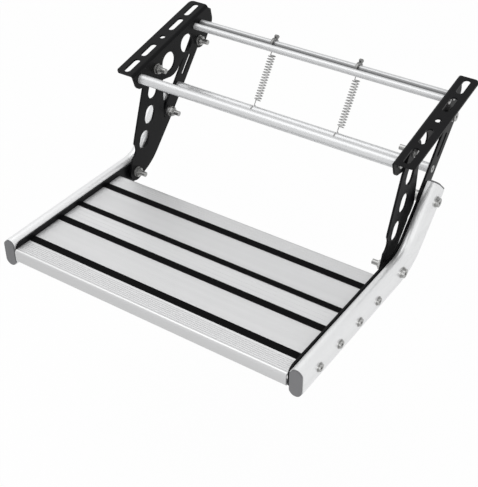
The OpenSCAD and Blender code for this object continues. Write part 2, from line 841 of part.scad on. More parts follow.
left_bracket();
right_bracket();
front_cross_tube();
rear_cross_tube();
spring_bar();
bar_screws();
upper_front_bolts();
upper_rear_bolts();
upper_front_nuts();
upper_rear_nuts();
left_front_arm();
right_front_arm();
lower_front_nuts();
left_rear_arm();
right_rear_arm();
arm_tube();
arm_tube_screws();
left_rail();
right_rail();
left_side_plate();
right_side_plate();
left_front_cap();
right_front_cap();
left_top_cap();
right_top_cap();
tread();
grip_strip_1();
grip_strip_2();
grip_strip_3();
grip_strip_4();
tread_screws();
lower_front_bolts();
lower_rear_bolts();
lower_rear_nuts();
left_spring();
right_spring();
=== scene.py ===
"""Dresses the folding entry step: finishes for its steel, aluminium, plastic and zinc pieces, a
ribbed tread with rubber strips, round-wire springs, a pale stage and a camera."""

import math

import bpy
from mathutils import Euler, Matrix, Vector


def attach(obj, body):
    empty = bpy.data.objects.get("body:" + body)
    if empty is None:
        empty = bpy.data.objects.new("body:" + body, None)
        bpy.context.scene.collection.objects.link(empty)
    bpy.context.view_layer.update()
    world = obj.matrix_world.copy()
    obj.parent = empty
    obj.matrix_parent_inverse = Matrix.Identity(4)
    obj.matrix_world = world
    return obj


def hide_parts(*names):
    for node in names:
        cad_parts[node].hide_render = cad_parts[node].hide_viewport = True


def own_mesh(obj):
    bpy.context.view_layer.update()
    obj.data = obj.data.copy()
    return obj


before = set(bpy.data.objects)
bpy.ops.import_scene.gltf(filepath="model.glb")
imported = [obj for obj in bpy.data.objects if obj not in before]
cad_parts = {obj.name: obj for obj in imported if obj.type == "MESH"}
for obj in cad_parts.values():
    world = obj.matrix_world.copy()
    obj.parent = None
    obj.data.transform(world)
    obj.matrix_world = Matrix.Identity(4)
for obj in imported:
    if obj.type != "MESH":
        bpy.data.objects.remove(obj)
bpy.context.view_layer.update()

bl_info = {
    "name": "Entry Step Finishes",
    "version": (1, 0, 0),
    "blender": (4, 5, 0),
    "location": "View3D > Sidebar > Entry Step",
    "description": "Finishes, tread and springs for a folding caravan entry step",
    "category": "Object",
}

STEEL_NODES = (
    "left_bracket", "right_bracket", "left_front_arm", "right_front_arm",
    "left_rear_arm", "right_rear_arm", "left_side_plate", "right_side_plate",
)
RAIL_NODES = ("left_rail", "right_rail")
TUBE_NODES = ("front_cross_tube", "rear_cross_tube", "arm_tube")
GRIP_NODES = ("grip_strip_1", "grip_strip_2", "grip_strip_3", "grip_strip_4")
CAP_NODES = ("left_front_cap", "right_front_cap", "left_top_cap", "right_top_cap")
SCREW_NODES = ("bar_screws", "arm_tube_screws", "tread_screws")
BOLT_NODES = (
    "upper_front_bolts", "upper_rear_bolts", "upper_front_nuts", "upper_rear_nuts",
    "lower_front_bolts", "lower_front_nuts", "lower_rear_bolts", "lower_rear_nuts",
)

# Rear edge and width of each grip strip, and places of the tread's inner walls, in metres
STRIPS = ((0.0338, 0.0143), (0.1101, 0.0121), (0.1628, 0.0143), (0.2402, 0.0144))
WALLS = (0.045, 0.1093, 0.1737, 0.238)
# Pitch of the ribs in the five bands from the rear to the nose, and the share that a top takes
BANDS = ((0.0055, 0.9), (0.00205, 0.62), (0.0096, 0.86), (0.00205, 0.62), (0.0041, 0.58))
BAND_MARGIN = 0.0006
STRIP_RIBS = 5
NOSE_STEPS = 8
# Heights above the tread's skin between which painted shade darkens its grooves
GROOVE_SHADE = (-0.0008, -0.0002)

# Gap between a hook and its bar, and between the wire's end and the arm tube when folded
HOOK_GAP = 0.0003
FOOT_GAP = 0.0016
WIRE_SIDES = 10
SHORT_OF_TUBE = 0.0055

# Stretch and turn of the drawn lines, metal share, two roughnesses and relief of each aluminium
TREAD_LOOK = ((0.02, 1, 1), (0, 0, 0), 0.55, 0.36, 0.48, 0.0001)
RAIL_LOOK = ((1, 0.03, 1), (math.radians(12.3), 0, 0), 0.6, 0.3, 0.42, 0.0001)
TUBE_LOOK = ((0.004, 1, 1), (0, 0, 0), 0.5, 0.34, 0.42, 0.00003)
# The spring bar is a little darker, and painted shade darkens its lower front side, away from a direction
# up and back
BAR_TINT = 0.97
BAR_TURN = math.radians(45)
BAR_SHADE = (0.18, 0.24)
BAR_SHADE_SHARE = 0.38

# Place, aim and width of each lamp, and the camera's place
KEY_LAMP = ((-0.9, 0.2, 2.4), (0.0, -0.1, -0.1), 2.4)
FILL_LAMP = ((1.3, -2.4, 0.9), (0.0, -0.2, -0.1), 1.8)
CAMERA_PLACE = (0.87409, -1.22969, 1.17259)
WHITE = (1, 1, 1, 1)
WORLD_LIGHT = 0.55
FLOOR_SIZE = 9.0
FLOOR_GLOW = 0.96


# Sizes and colours

def size(label, text, default, low=0.0, high=1.0):
    """A length in metres that a user can set."""
    return bpy.props.FloatProperty(
        name=label, description=text, default=default, min=low, max=high,
        unit="LENGTH", subtype="DISTANCE", precision=4)


def angle(label, text, default):
    """An angle that a user can set, with its default in degrees."""
    return bpy.props.FloatProperty(
        name=label, description=text, default=math.radians(default), subtype="ANGLE")


def colour(label, text, default):
    """A colour that a user can set."""
    return bpy.props.FloatVectorProperty(
        name=label, description=text, default=default, size=3, min=0.0, max=1.0, subtype="COLOR")


class STEP_PG_finish(bpy.types.PropertyGroup):
    """Colours of the step's finishes."""
    tilt: angle("Tread's lean", "Turn about X that makes the tread level", 12.3546)
    top: bpy.props.FloatProperty(
        name="Tread's top", description="Height of the tread's top once it is turned level",
        default=-0.22671, precision=5, unit="LENGTH")
    powder: colour("Powder coat", "Black coat on brackets, arms and side plates", (0.0035, 0.0035, 0.004))
    tread: colour("Tread", "Satin aluminium of the tread", (0.71, 0.712, 0.716))
    rail: colour("Rails", "Satin aluminium of the side rails", (0.83, 0.835, 0.84))
    tube: colour("Tubes", "Satin aluminium of the cross tubes", (0.62, 0.625, 0.632))
    grip: colour("Grip strips", "Rubber of the grip strips", (0.003, 0.003, 0.0033))
    cap: colour("End caps", "Moulded plastic of the end caps", (0.135, 0.135, 0.14))
    zinc: colour("Zinc", "Zinc plate on bolts, nuts and screws", (0.4, 0.4, 0.393))
    spring: colour("Springs", "Plated spring wire", (0.42, 0.42, 0.415))
    hook: colour("Spring rings", "Dull zinc on the punched rings", (0.2, 0.2, 0.197))


class STEP_PG_tread(bpy.types.PropertyGroup):
    """Sizes of the tread and its grip strips. Places are counted forward from the rear edge."""
    half: size("Half width", "Distance of the tread's ends from the middle", 0.283, 0.1, 0.5)
    depth: size("Depth", "From the rear edge to the front of the nose", 0.293, 0.1, 0.5)
    height: size("Height", "Height of the section", 0.026, 0.01, 0.05)
    wall: size("Wall", "Thickness of skin and walls", 0.0026, 0.001, 0.005)
    nose: size("Nose edge", "Radius of the nose's two edges", 0.0055, 0.002, 0.01)
    foot: size("Foot", "Length of the feet under the walls", 0.009, 0.004, 0.02)
    fine_rib: size("Fine rib", "Height of the ribs between the strips", 0.0003, 0.0001, 0.001)
    nose_rib: size("Nose rib", "Height of the ribs before the nose", 0.0007, 0.0001, 0.001)
    strip: size("Strip", "Thickness of a grip strip", 0.003, 0.001, 0.006)
    proud: size("Proud", "Height that a strip stands above the ribs", 0.0008, 0.0001, 0.002)
    rear_y: bpy.props.FloatProperty(
        name="Rear edge Y", description="Place of the tread's upper rear edge",
        default=-0.211943, precision=5, unit="LENGTH")
    rear_z: bpy.props.FloatProperty(
        name="Rear edge Z", description="Height of the tread's upper rear edge",
        default=-0.185665, precision=5, unit="LENGTH")


class STEP_PG_springs(bpy.types.PropertyGroup):
    """Sizes of the two tension springs, as they stand with the step let down."""
    wire: size("Wire", "Diameter of the spring wire", 0.0019, 0.001, 0.005)
    coil: size("Coil", "Outside diameter of the coil", 0.015, 0.008, 0.03)
    turns: bpy.props.IntProperty(
        name="Turns", description="Number of turns of the coil", default=17, min=6, max=40)
    hook: size("Ring plate", "Thickness of the punched ring on the spring bar", 0.005, 0.002, 0.01)
    hook_band: size("Ring band", "Width of the ring's band", 0.0048, 0.003, 0.012)
    ear: size("Ear", "Length of the ring's bent ear", 0.0065, 0.002, 0.02)
    left_x: size("Left spring", "Distance of the left spring's hooks from the middle", 0.099, 0.05, 0.2)
    right_x: size("Right spring", "Distance of the right spring's hooks from the middle", 0.085, 0.05, 0.2)
    aside: size("Coil aside", "Distance of a coil's axis beside its hooks", 0.0035, 0.0, 0.006)
    bar_y: size("Bar Y", "Distance of the spring bar behind the origin", 0.096, 0.0, 0.3)
    bar_drop: size("Bar drop", "Distance of the spring bar below the flanges", 0.0265, 0.0, 0.3)
    bar: size("Spring bar", "Diameter of the spring bar", 0.016, 0.01, 0.03)
    tube: size("Arm tube", "Diameter of the arm tube", 0.018, 0.01, 0.03)
    length: size("Length", "Distance from the spring bar to the arm tube", 0.13138, 0.05, 0.3)
    lean: angle("Lean", "Direction from the spring bar to the arm tube", -136.454)
    shorter: bpy.props.FloatProperty(
        name="Shorter", description="Share of its length that a spring keeps when folded away",
        default=0.6927, min=0.3, max=1.0)


class STEP_PG_stage(bpy.types.PropertyGroup):
    """The floor, the lamps and the camera."""
    floor: colour("Floor", "Colour of the floor and the backdrop", (0.93, 0.93, 0.93))
    floor_drop: size("Floor drop", "Distance of the floor below the flanges", 0.62, 0.3, 2.0)
    key: bpy.props.FloatProperty(
        name="Key lamp", description="Power of the large lamp above", default=26.0, min=0.0,
        unit="POWER")
    fill: bpy.props.FloatProperty(
        name="Fill lamp", description="Power of the lamp in front", default=32.0, min=0.0,
        unit="POWER")
    azimuth: angle("Azimuth", "Camera's turn about the vertical", 41.01)
    elevation: angle("Elevation", "Camera's height above the horizon", 46.51)
    roll: angle("Roll", "Camera's turn about its own axis", -10.47)
    lens: bpy.props.FloatProperty(
        name="Lens", description="Focal length", default=51.26, min=1.0, subtype="DISTANCE_CAMERA")


# Helpers for meshes

def deselect():
    """Leaves edit mode and selects nothing."""
    if bpy.context.mode != "OBJECT":
        bpy.ops.object.mode_set(mode="OBJECT")
    bpy.ops.object.select_all(action="DESELECT")


def pick(objs):
    """Selects just these objects and makes the first one active."""
    deselect()
    for obj in objs:
        obj.select_set(True)
    bpy.context.view_layer.objects.active = objs[0]


def settle(obj):
    """Moves an object's place into its mesh, so that its origin is the world's."""
    pick([obj])
    bpy.ops.object.transform_apply(location=True, rotation=True, scale=True)


def merge(objs, name):
    """Joins objects into the first one, closes doubles and turns its faces outwards."""
    pick(objs)
    if len(objs) > 1:
        bpy.ops.object.join()
    obj = bpy.context.view_layer.objects.active
    obj.name = name
    bpy.ops.object.mode_set(mode="EDIT")
    bpy.ops.mesh.select_all(action="SELECT")
    bpy.ops.mesh.remove_doubles(threshold=0.00002)
    bpy.ops.mesh.normals_make_consistent(inside=False)
    bpy.ops.object.mode_set(mode="OBJECT")
    bpy.ops.object.shade_smooth_by_angle(angle=math.radians(40))
    return obj


def swept(name, corners, centre, axis, turn, steps):
    """A rod whose outline in corners is spun about an axis, with both ends closed."""
    bpy.ops.mesh.primitive_circle_add(
        vertices=len(corners), radius=1.0, fill_type="NGON", location=(0, 0, 0))
    obj = bpy.context.view_layer.objects.active
    obj.name = name
    for vertex, place in zip(obj.data.vertices, corners):
        vertex.co = place
    pick([obj])
    bpy.ops.object.mode_set(mode="EDIT")
    bpy.ops.mesh.select_all(action="SELECT")
    bpy.ops.mesh.spin(steps=steps, angle=turn, center=centre, axis=axis)
    deselect()
    return obj


def plate(name, outline, thickness, eased):
    """A flat plate across X whose outline is in (Y, Z), with eased edges unless eased is 0."""
    bpy.ops.mesh.primitive_circle_add(
        vertices=len(outline), radius=1.0, fill_type="NGON", location=(0, 0, 0))
    obj = bpy.context.view_layer.objects.active
    obj.name = name
    for vertex, (y, z) in zip(obj.data.vertices, outline):
        vertex.co = (-thickness / 2, y, z)
    pick([obj])
    bpy.ops.object.mode_set(mode="EDIT")
    bpy.ops.mesh.select_all(action="SELECT")
    bpy.ops.mesh.extrude_region_move(TRANSFORM_OT_translate={"value": (thickness, 0, 0)})
    bpy.ops.mesh.select_all(action="SELECT")
    bpy.ops.mesh.normals_make_consistent(inside=False)
    bpy.ops.object.mode_set(mode="OBJECT")
    if not eased:
        return obj
    edge = obj.modifiers.new("Edge", "BEVEL")
    edge.width = eased
    edge.segments = 2
    edge.limit_method = "ANGLE"
    edge.angle_limit = math.radians(50)
    bpy.ops.object.modifier_apply(modifier=edge.name)
    return obj


def ring(radius, at):
    """Corners of a wire's section round a place, in the plane across Z."""
    turns = [2 * math.pi * i / WIRE_SIDES for i in range(WIRE_SIDES)]
    return [(at[0] + radius * math.cos(a), at[1] + radius * math.sin(a), at[2]) for a in turns]


def arc(radius, degrees, centre=(0.0, 0.0)):
    """Points of a circle at these angles."""
    turns = [math.radians(a) for a in degrees]
    return [(centre[0] + radius * math.cos(a), centre[1] + radius * math.sin(a)) for a in turns]


def rod(name, radius, low, high):
    """A straight wire between two points."""
    way = Vector(high) - Vector(low)
    bpy.ops.mesh.primitive_cylinder_add(
        vertices=WIRE_SIDES, radius=radius, depth=way.length, location=(Vector(low) + Vector(high)) / 2,
        rotation=way.to_track_quat("Z", "Y").to_euler())
    made = bpy.context.view_layer.objects.active
    made.name = name
    settle(made)
    return made


# Helpers for materials

def new_group(name, inputs, outputs):
    """A node group with named sockets, built once."""
    group = bpy.data.node_groups.get(name)
    if group:
        return group, None, None
    group = bpy.data.node_groups.new(name, "ShaderNodeTree")
    for label, kind, value in inputs:
        socket = group.interface.new_socket(name=label, in_out="INPUT", socket_type=kind)
        if value is not None:
            socket.default_value = value
    for label, kind in outputs:
        group.interface.new_socket(name=label, in_out="OUTPUT", socket_type=kind)
    return group, group.nodes.new("NodeGroupInput"), group.nodes.new("NodeGroupOutput")


def node(tree, kind, links=None, **settings):
    """Adds a node, sets its values and links its inputs."""
    made = tree.nodes.new(kind)
    for key, value in settings.items():
        if hasattr(made, key):
            setattr(made, key, value)
        else:
            made.inputs[key.replace("_", " ")].default_value = value
    for key, source in (links or {}).items():
        tree.links.new(source, made.inputs[key])
    return made


def grain_group():
    """Even fine grain, as on powder coat, moulded plastic and rubber."""
    group, given, out = new_group(
        "Fine Grain",
        [("Vector", "NodeSocketVector", None), ("Scale", "NodeSocketFloat", 900.0),
         ("Spread", "NodeSocketFloat", 0.5)],
        [("Height", "NodeSocketFloat"), ("Mask", "NodeSocketFloat")])
    if given is None:
        return group
    fine = node(group, "ShaderNodeTexNoise", {"Vector": given.outputs["Vector"],
                                              "Scale": given.outputs["Scale"]}, Detail=3.0)
    cloud = node(group, "ShaderNodeTexNoise", {"Vector": given.outputs["Vector"]}, Scale=14.0, Detail=2.0)
    low = node(group, "ShaderNodeMapRange", {"Value": cloud.outputs["Fac"],
                                             "To Max": given.outputs["Spread"]})
    low.inputs["From Min"].default_value = 0.35
    low.inputs["From Max"].default_value = 0.65
    group.links.new(fine.outputs["Fac"], out.inputs["Height"])
    group.links.new(low.outputs["Result"], out.inputs["Mask"])
    return group


def drawn_group():
    """Fine lines left along a piece by extrusion or drawing. The stretch of the coordinates given to
    Vector sets the direction they run in.
    """
    group, given, out = new_group(
        "Drawn Lines",
        [("Vector", "NodeSocketVector", None), ("Scale", "NodeSocketFloat", 500.0)],
        [("Height", "NodeSocketFloat"), ("Tone", "NodeSocketFloat")])
    if given is None:
        return group
    lines = node(group, "ShaderNodeTexNoise", {"Vector": given.outputs["Vector"],
                                               "Scale": given.outputs["Scale"]}, Detail=4.0, Roughness=0.6)
    broad = node(group, "ShaderNodeTexNoise", {"Vector": given.outputs["Vector"]}, Scale=60.0, Detail=2.0)
    tone = node(group, "ShaderNodeMapRange", {"Value": broad.outputs["Fac"]})
    tone.inputs["From Min"].default_value = 0.3
    tone.inputs["From Max"].default_value = 0.7
    group.links.new(lines.outputs["Fac"], out.inputs["Height"])
    group.links.new(tone.outputs["Result"], out.inputs["Tone"])
    return group


def use_group(tree, group, vector, **values):
    """Places a group in a material, with its own values."""
    made = tree.nodes.new("ShaderNodeGroup")
    made.node_tree = group
    for key, value in values.items():
        made.inputs[key].default_value = value
    tree.links.new(vector, made.inputs["Vector"])
    return made


def stretched(tree, stretch, turn=(0.0, 0.0, 0.0)):
    """Object coordinates, turned and then stretched."""
    coords = tree.nodes.new("ShaderNodeTexCoord")
    turned = node(tree, "ShaderNodeMapping", {"Vector": coords.outputs["Object"]})
    turned.inputs["Rotation"].default_value = turn
    mapped = node(tree, "ShaderNodeMapping", {"Vector": turned.outputs["Vector"]})
    mapped.inputs["Scale"].default_value = stretch
    return mapped.outputs["Vector"]


def start(name):
    """A new material with its Principled shader."""
    material = bpy.data.materials.get(name) or bpy.data.materials.new(name)
    material.use_nodes = True
    tree = material.node_tree
    tree.nodes.clear()
    out = tree.nodes.new("ShaderNodeOutputMaterial")
    shader = tree.nodes.new("ShaderNodeBsdfPrincipled")
    tree.links.new(shader.outputs["BSDF"], out.inputs["Surface"])
    return material, tree, shader


def vary(tree, shader, mask, base, light, rough_low, rough_high):
    """Base Color between two tones of a colour, and Roughness between two values, by a mask."""
    mix = node(tree, "ShaderNodeMix", {"Factor": mask}, data_type="RGBA")
    tones = [socket for socket in mix.inputs if socket.type == "RGBA"]
    tones[0].default_value = (*base, 1.0)
    tones[1].default_value = (*[min(1.0, c * light) for c in base], 1.0)
    colour_out = [s for s in mix.outputs if s.type == "RGBA"][0]
    tree.links.new(colour_out, shader.inputs["Base Color"])
    rough = node(tree, "ShaderNodeMapRange", {"Value": mask})
    rough.inputs["To Min"].default_value = rough_low
    rough.inputs["To Max"].default_value = rough_high
    tree.links.new(rough.outputs["Result"], shader.inputs["Roughness"])


def bump(tree, shader, height, strength, distance):
    """Feeds a height through a Bump node into Normal."""
    made = node(tree, "ShaderNodeBump", {"Height": height}, Strength=strength, Distance=distance)
    tree.links.new(made.outputs["Normal"], shader.inputs["Normal"])


def paint_shade_below(material, turn, level, fade, share):
    """Paints shade: darkens Base Color to a share, fading over two heights from a level. The height
    is measured in Object coordinates that are turned about X."""
    tree = material.node_tree
    shader = [n for n in tree.nodes if n.type == "BSDF_PRINCIPLED"][0]
    coords = tree.nodes.new("ShaderNodeTexCoord")
    placed = node(tree, "ShaderNodeMapping", {"Vector": coords.outputs["Object"]})
    placed.inputs["Rotation"].default_value = (turn, 0, 0)
    parts = node(tree, "ShaderNodeSeparateXYZ", {"Vector": placed.outputs["Vector"]})
    height = node(tree, "ShaderNodeMapRange", {"Value": parts.outputs["Z"]})
    height.inputs["From Min"].default_value = level + fade[0]
    height.inputs["From Max"].default_value = level + fade[1]
    height.inputs["To Min"].default_value = share
    height.inputs["To Max"].default_value = 1.0
    colour_in = shader.inputs["Base Color"]
    shade = node(tree, "ShaderNodeVectorMath", {0: colour_in.links[0].from_socket,
                                                "Scale": height.outputs["Result"]}, operation="SCALE")
    tree.links.new(shade.outputs["Vector"], colour_in)


def white_where_seen(tree):
    """1 for rays from the camera and for reflections, 0 for the rest of the light."""
    path = tree.nodes.new("ShaderNodeLightPath")
    seen = node(tree, "ShaderNodeMath", {0: path.outputs["Is Camera Ray"],
                                         1: path.outputs["Is Glossy Ray"]}, operation="MAXIMUM")
    return seen.outputs[0]


def wear(names, material):
    """Gives nodes of the frame a finish."""
    for name in names:
        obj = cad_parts[name]
        obj.data.materials.clear()
        obj.data.materials.append(material)


# Finishes

def grained(name, tint, light, rough, fineness, relief, stretch=(1, 1, 1), values=None):
    """A finish with fine grain, in two tones and between two roughnesses."""
    material, tree, shader = start(name)
    grain = use_group(tree, grain_group(), stretched(tree, stretch), Scale=fineness, Spread=1.0)
    vary(tree, shader, grain.outputs["Mask"], tint, light, *rough)
    bump(tree, shader, grain.outputs["Height"], *relief)
    for label, value in (values or {}).items():
        shader.inputs[label].default_value = value
    return material


def powder_coat():
    """Black powder coat with a faint orange peel."""
    return grained("Powder Coat Black", bpy.context.scene.step_finish.powder, 1.35, (0.34, 0.44),
                   fineness=1100.0, relief=(0.18, 0.00012), values={"Specular IOR Level": 0.09})


def rubber():
    """Matt rubber with a soft grain."""
    return grained("Grip Rubber", bpy.context.scene.step_finish.grip, 1.5, (0.62, 0.74),
                   fineness=1500.0, relief=(0.3, 0.00015), stretch=(0.3, 1, 1),
                   values={"Specular IOR Level": 0.05})


def moulded_plastic():
    """Grey moulded plastic with a spark-eroded grain."""
    return grained("Cap Plastic", bpy.context.scene.step_finish.cap, 1.12, (0.46, 0.56),
                   fineness=1400.0, relief=(0.22, 0.00012))


def zinc_plate(name, tint):
    """Zinc plate."""
    return grained(name, tint, 0.86, (0.24, 0.38), fineness=700.0, relief=(0.08, 0.0001),
                   values={"Metallic": 0.85})


def satin_aluminium(name, tint, stretch, turn, metal, rough_low, rough_high, relief):
    """Satin aluminium with drawn lines along the piece."""
    material, tree, shader = start(name)
    lines = use_group(tree, drawn_group(), stretched(tree, stretch, turn), Scale=420.0)
    vary(tree, shader, lines.outputs["Tone"], tint, 0.94, rough_low, rough_high)
    bump(tree, shader, lines.outputs["Height"], 0.12, relief)
    shader.inputs["Metallic"].default_value = metal
    return material


# Pieces

def ribbed(start, end, pitch, height, share):
    """Corners of a band's ribs, whose tops take a share of the pitch."""
    count = max(1, int((end - start) / pitch + 0.001))
    first = start + ((end - start) - (count - 1) * pitch) / 2
    corners = []
    for i in range(count):
        at = first + i * pitch
        half = pitch * share / 2
        slope = min(height * 0.5, (pitch - 2 * half) * 0.3)
        corners += [(at - half - slope, -height), (at - half, 0.0),
                    (at + half, 0.0), (at + half + slope, -height)]
    return corners


def tread_outline(sizes):
    """The tread's section as (forward, up), from the lower rear corner over the top and back below."""
    floor = sizes.strip - sizes.proud
    corners = [(0.0, -sizes.height), (0.0, -sizes.nose_rib)]
    starts = [0.0] + [rear + width for rear, width in STRIPS]
    ends = [rear for rear, width in STRIPS] + [sizes.depth - sizes.nose]
    for i, (start, end, (pitch, share)) in enumerate(zip(starts, ends, BANDS)):
        last = i == len(STRIPS)
        height = sizes.nose_rib if last else sizes.fine_rib
        corners += ribbed(start + BAND_MARGIN, end - BAND_MARGIN, pitch, height, share)
        if not last:
            front = end + STRIPS[i][1]
            corners += [(end, -height), (end, -floor), (front, -floor), (front, -sizes.fine_rib)]
    round_off = sizes.depth - sizes.nose
    quarter = [90 * step / NOSE_STEPS for step in range(NOSE_STEPS + 1)]
    corners += arc(sizes.nose, [90 - a for a in quarter], (round_off, -sizes.nose))
    corners += arc(sizes.nose, [-a for a in quarter], (round_off, sizes.nose - sizes.height))
    inside = sizes.wall - sizes.height
    under = -floor - sizes.wall
    corners += [(round_off - sizes.foot, -sizes.height), (round_off - sizes.foot, inside),
                (sizes.depth - sizes.wall, inside), (sizes.depth - sizes.wall, under)]
    half_wall, half_foot = sizes.wall / 2, sizes.foot / 2
    for at in reversed(WALLS):
        corners += [(at + half_wall, under), (at + half_wall, inside), (at + half_foot, inside),
                    (at + half_foot, -sizes.height), (at - half_foot, -sizes.height),
                    (at - half_foot, inside), (at - half_wall, inside), (at - half_wall, under)]
    corners += [(sizes.wall, under), (sizes.wall, inside), (sizes.foot, inside),
                (sizes.foot, -sizes.height)]
    return corners


def strip_outline(sizes, width):
    """A grip strip's section as (forward, up) from its rear edge, with grooves between its ribs."""
    floor = sizes.proud - sizes.strip
    groove = sizes.proud / 3
    pitch = width / STRIP_RIBS
    lip, bottom = pitch * 0.2, pitch * 0.1
    corners = [(0.0, floor), (0.0, sizes.proud)]
    for i in range(1, STRIP_RIBS):
        at = i * pitch
        corners += [(at - lip, sizes.proud), (at - bottom, groove),
                    (at + bottom, groove), (at + lip, sizes.proud)]
    return corners + [(width, sizes.proud), (width, floor)]


def lay_on_step(obj, sizes, tilt, forward):
    """Turns a piece drawn level behind the origin into the tread's place."""
    obj.matrix_world = (
        Matrix.Translation((0.0, sizes.rear_y, sizes.rear_z)) @ Matrix.Rotation(-tilt, 4, "X")
        @ Matrix.Translation((0.0, -forward, 0.0)))
    settle(obj)


def build_coil(sizes, name):
    """One coil along +Y from the spring bar, whose centre is the origin. Its ends are placed so that,
    drawn together to the share it keeps when folded, it still stays off the ring and the arm tube."""
    wire_r = sizes.wire / 2
    coil_r = sizes.coil / 2 - wire_r
    band_r = sizes.bar / 2 + HOOK_GAP + sizes.hook_band
    first = (band_r + wire_r + 0.0004) / sizes.shorter
    last = tube_foot(sizes) - SHORT_OF_TUBE
    # The coil, wound about Y by a screw modifier
    bpy.ops.mesh.primitive_circle_add(
        vertices=WIRE_SIDES, radius=wire_r, fill_type="NOTHING", location=(coil_r, 0, 0),
        rotation=(math.radians(90), 0, 0))
    coil = bpy.context.view_layer.objects.active
    pick([coil])
    bpy.ops.object.transform_apply(location=True, rotation=True, scale=True)
    screw = coil.modifiers.new("Turns", "SCREW")
    screw.axis = "Z"
    screw.angle = -2 * math.pi * sizes.turns
    screw.screw_offset = last - first
    screw.steps = sizes.turns * 20
    screw.render_steps = screw.steps
    screw.use_merge_vertices = False
    bpy.ops.object.modifier_apply(modifier=screw.name)
    bpy.ops.object.mode_set(mode="EDIT")
    bpy.ops.mesh.select_all(action="SELECT")
    bpy.ops.mesh.fill_holes(sides=0)
    bpy.ops.object.mode_set(mode="OBJECT")
    coil.matrix_world = (
        Matrix.Translation((sizes.aside, first, 0)) @ Matrix.Rotation(math.radians(-90), 4, "X"))
    settle(coil)
    # Each end of the wire crosses to the middle and runs on, to the ring above or the loop below
    reach = coil_r + sizes.aside
    pieces = [coil]
    for at, end in ((first, band_r - 0.001), (last, tube_foot(sizes) - wire_r)):
        pieces.append(rod("cross", wire_r, (reach, at, 0), (-wire_r, at, 0)))
        pieces.append(rod("shank", wire_r, (0, at, 0), (0, end, 0)))
    return merge(pieces, name)


def tube_foot(sizes):
    """How far a drawn-out spring's wire may reach, so that it stays off the arm tube when folded."""
    return sizes.length - (sizes.tube / 2 + FOOT_GAP) / sizes.shorter


def build_ring(sizes, name):
    """The punched ring on the spring bar, with a bent ear that stands off behind."""
    top_r = sizes.bar / 2 + HOOK_GAP
    band_r = top_r + sizes.hook_band
    far = band_r + sizes.ear
    inner = arc(top_r, range(176, -177, -8))
    outer = arc(band_r, range(-160, 161, 10))
    ear = [(-far + 0.0055, 0.0065), (-far + 0.0025, 0.008), (-far + 0.0007, 0.006),
           (-far, 0.001), (-far + 0.001, -0.003), (-far + 0.0035, -0.0055)]
    return merge([plate(name + "_plate", inner + outer + ear, sizes.hook, 0.0004)], name)


def build_loop(sizes, name):
    """The wire loop round the arm tube, whose centre is the origin, with a short end to the coil."""
    wire_r = sizes.wire / 2
    low_r = sizes.tube / 2 + HOOK_GAP + wire_r
    loop = swept("loop", ring(wire_r, (0, -low_r, 0)), (0, 0, 0), (1, 0, 0), math.radians(320), 32)
    reach = sizes.length - tube_foot(sizes) + 0.002
    end = rod("end", wire_r, (0, -low_r, 0), (0, -reach, 0))
    return merge([loop, end], name)


# Stage

def pale_world():
    """A soft world light that the camera and reflections see as plain white."""
    world = bpy.data.worlds.new("Pale Studio")
    world.use_nodes = True
    tree = world.node_tree
    tree.nodes.clear()
    dim = node(tree, "ShaderNodeBackground", Color=WHITE, Strength=WORLD_LIGHT)
    plain = node(tree, "ShaderNodeBackground", Color=WHITE, Strength=1.0)
    both = node(tree, "ShaderNodeMixShader", {0: white_where_seen(tree), 1: dim.outputs[0],
                                              2: plain.outputs[0]})
    out = tree.nodes.new("ShaderNodeOutputWorld")
    tree.links.new(both.outputs[0], out.inputs["Surface"])
    return world


def floor_finish(tint):
    """Pale floor that keeps shadows and stays near white for the camera and in reflections."""
    material = bpy.data.materials.new("Pale Floor")
    material.use_nodes = True
    tree = material.node_tree
    tree.nodes.clear()
    share = node(tree, "ShaderNodeMath", {0: white_where_seen(tree)}, operation="MULTIPLY")
    share.inputs[1].default_value = FLOOR_GLOW
    matt = node(tree, "ShaderNodeBsdfDiffuse", Color=(*tint, 1.0))
    glow = node(tree, "ShaderNodeEmission", Color=WHITE, Strength=1.0)
    both = node(tree, "ShaderNodeMixShader", {0: share.outputs[0], 1: matt.outputs[0],
                                              2: glow.outputs[0]})
    out = tree.nodes.new("ShaderNodeOutputMaterial")
    tree.links.new(both.outputs[0], out.inputs["Surface"])
    return material


def lamp(name, place, aim, width, power):
    """A square soft lamp that looks at a point."""
    bpy.ops.object.light_add(type="AREA", location=place)
    made = bpy.context.view_layer.objects.active
    made.name = name
    made.data.shape = "SQUARE"
    made.data.size = width
    made.data.energy = power
    back = Vector(place) - Vector(aim)
    made.rotation_euler = back.to_track_quat("Z", "Y").to_euler()


def place_camera(context, sizes):
    """The camera at the photograph's view."""
    bpy.ops.object.camera_add(location=CAMERA_PLACE)
    camera = context.view_layer.objects.active
    level = Euler((math.pi / 2 - sizes.elevation, 0.0, sizes.azimuth)).to_matrix()
    camera.rotation_euler = (level @ Matrix.Rotation(sizes.roll, 3, "Z")).to_euler()
    camera.data.sensor_fit = "VERTICAL"
    camera.data.sensor_height = 24.0
    camera.data.lens = sizes.lens
    camera.data.clip_end = 50.0
    context.scene.camera = camera


# Operators

class STEP_OT_steel(bpy.types.Operator):
    """Give brackets, arms and side plates their black powder coat"""
    bl_idname = "step.steel"
    bl_label = "Steel Plates"

    def execute(self, context):
        wear(STEEL_NODES, powder_coat())
        return {"FINISHED"}


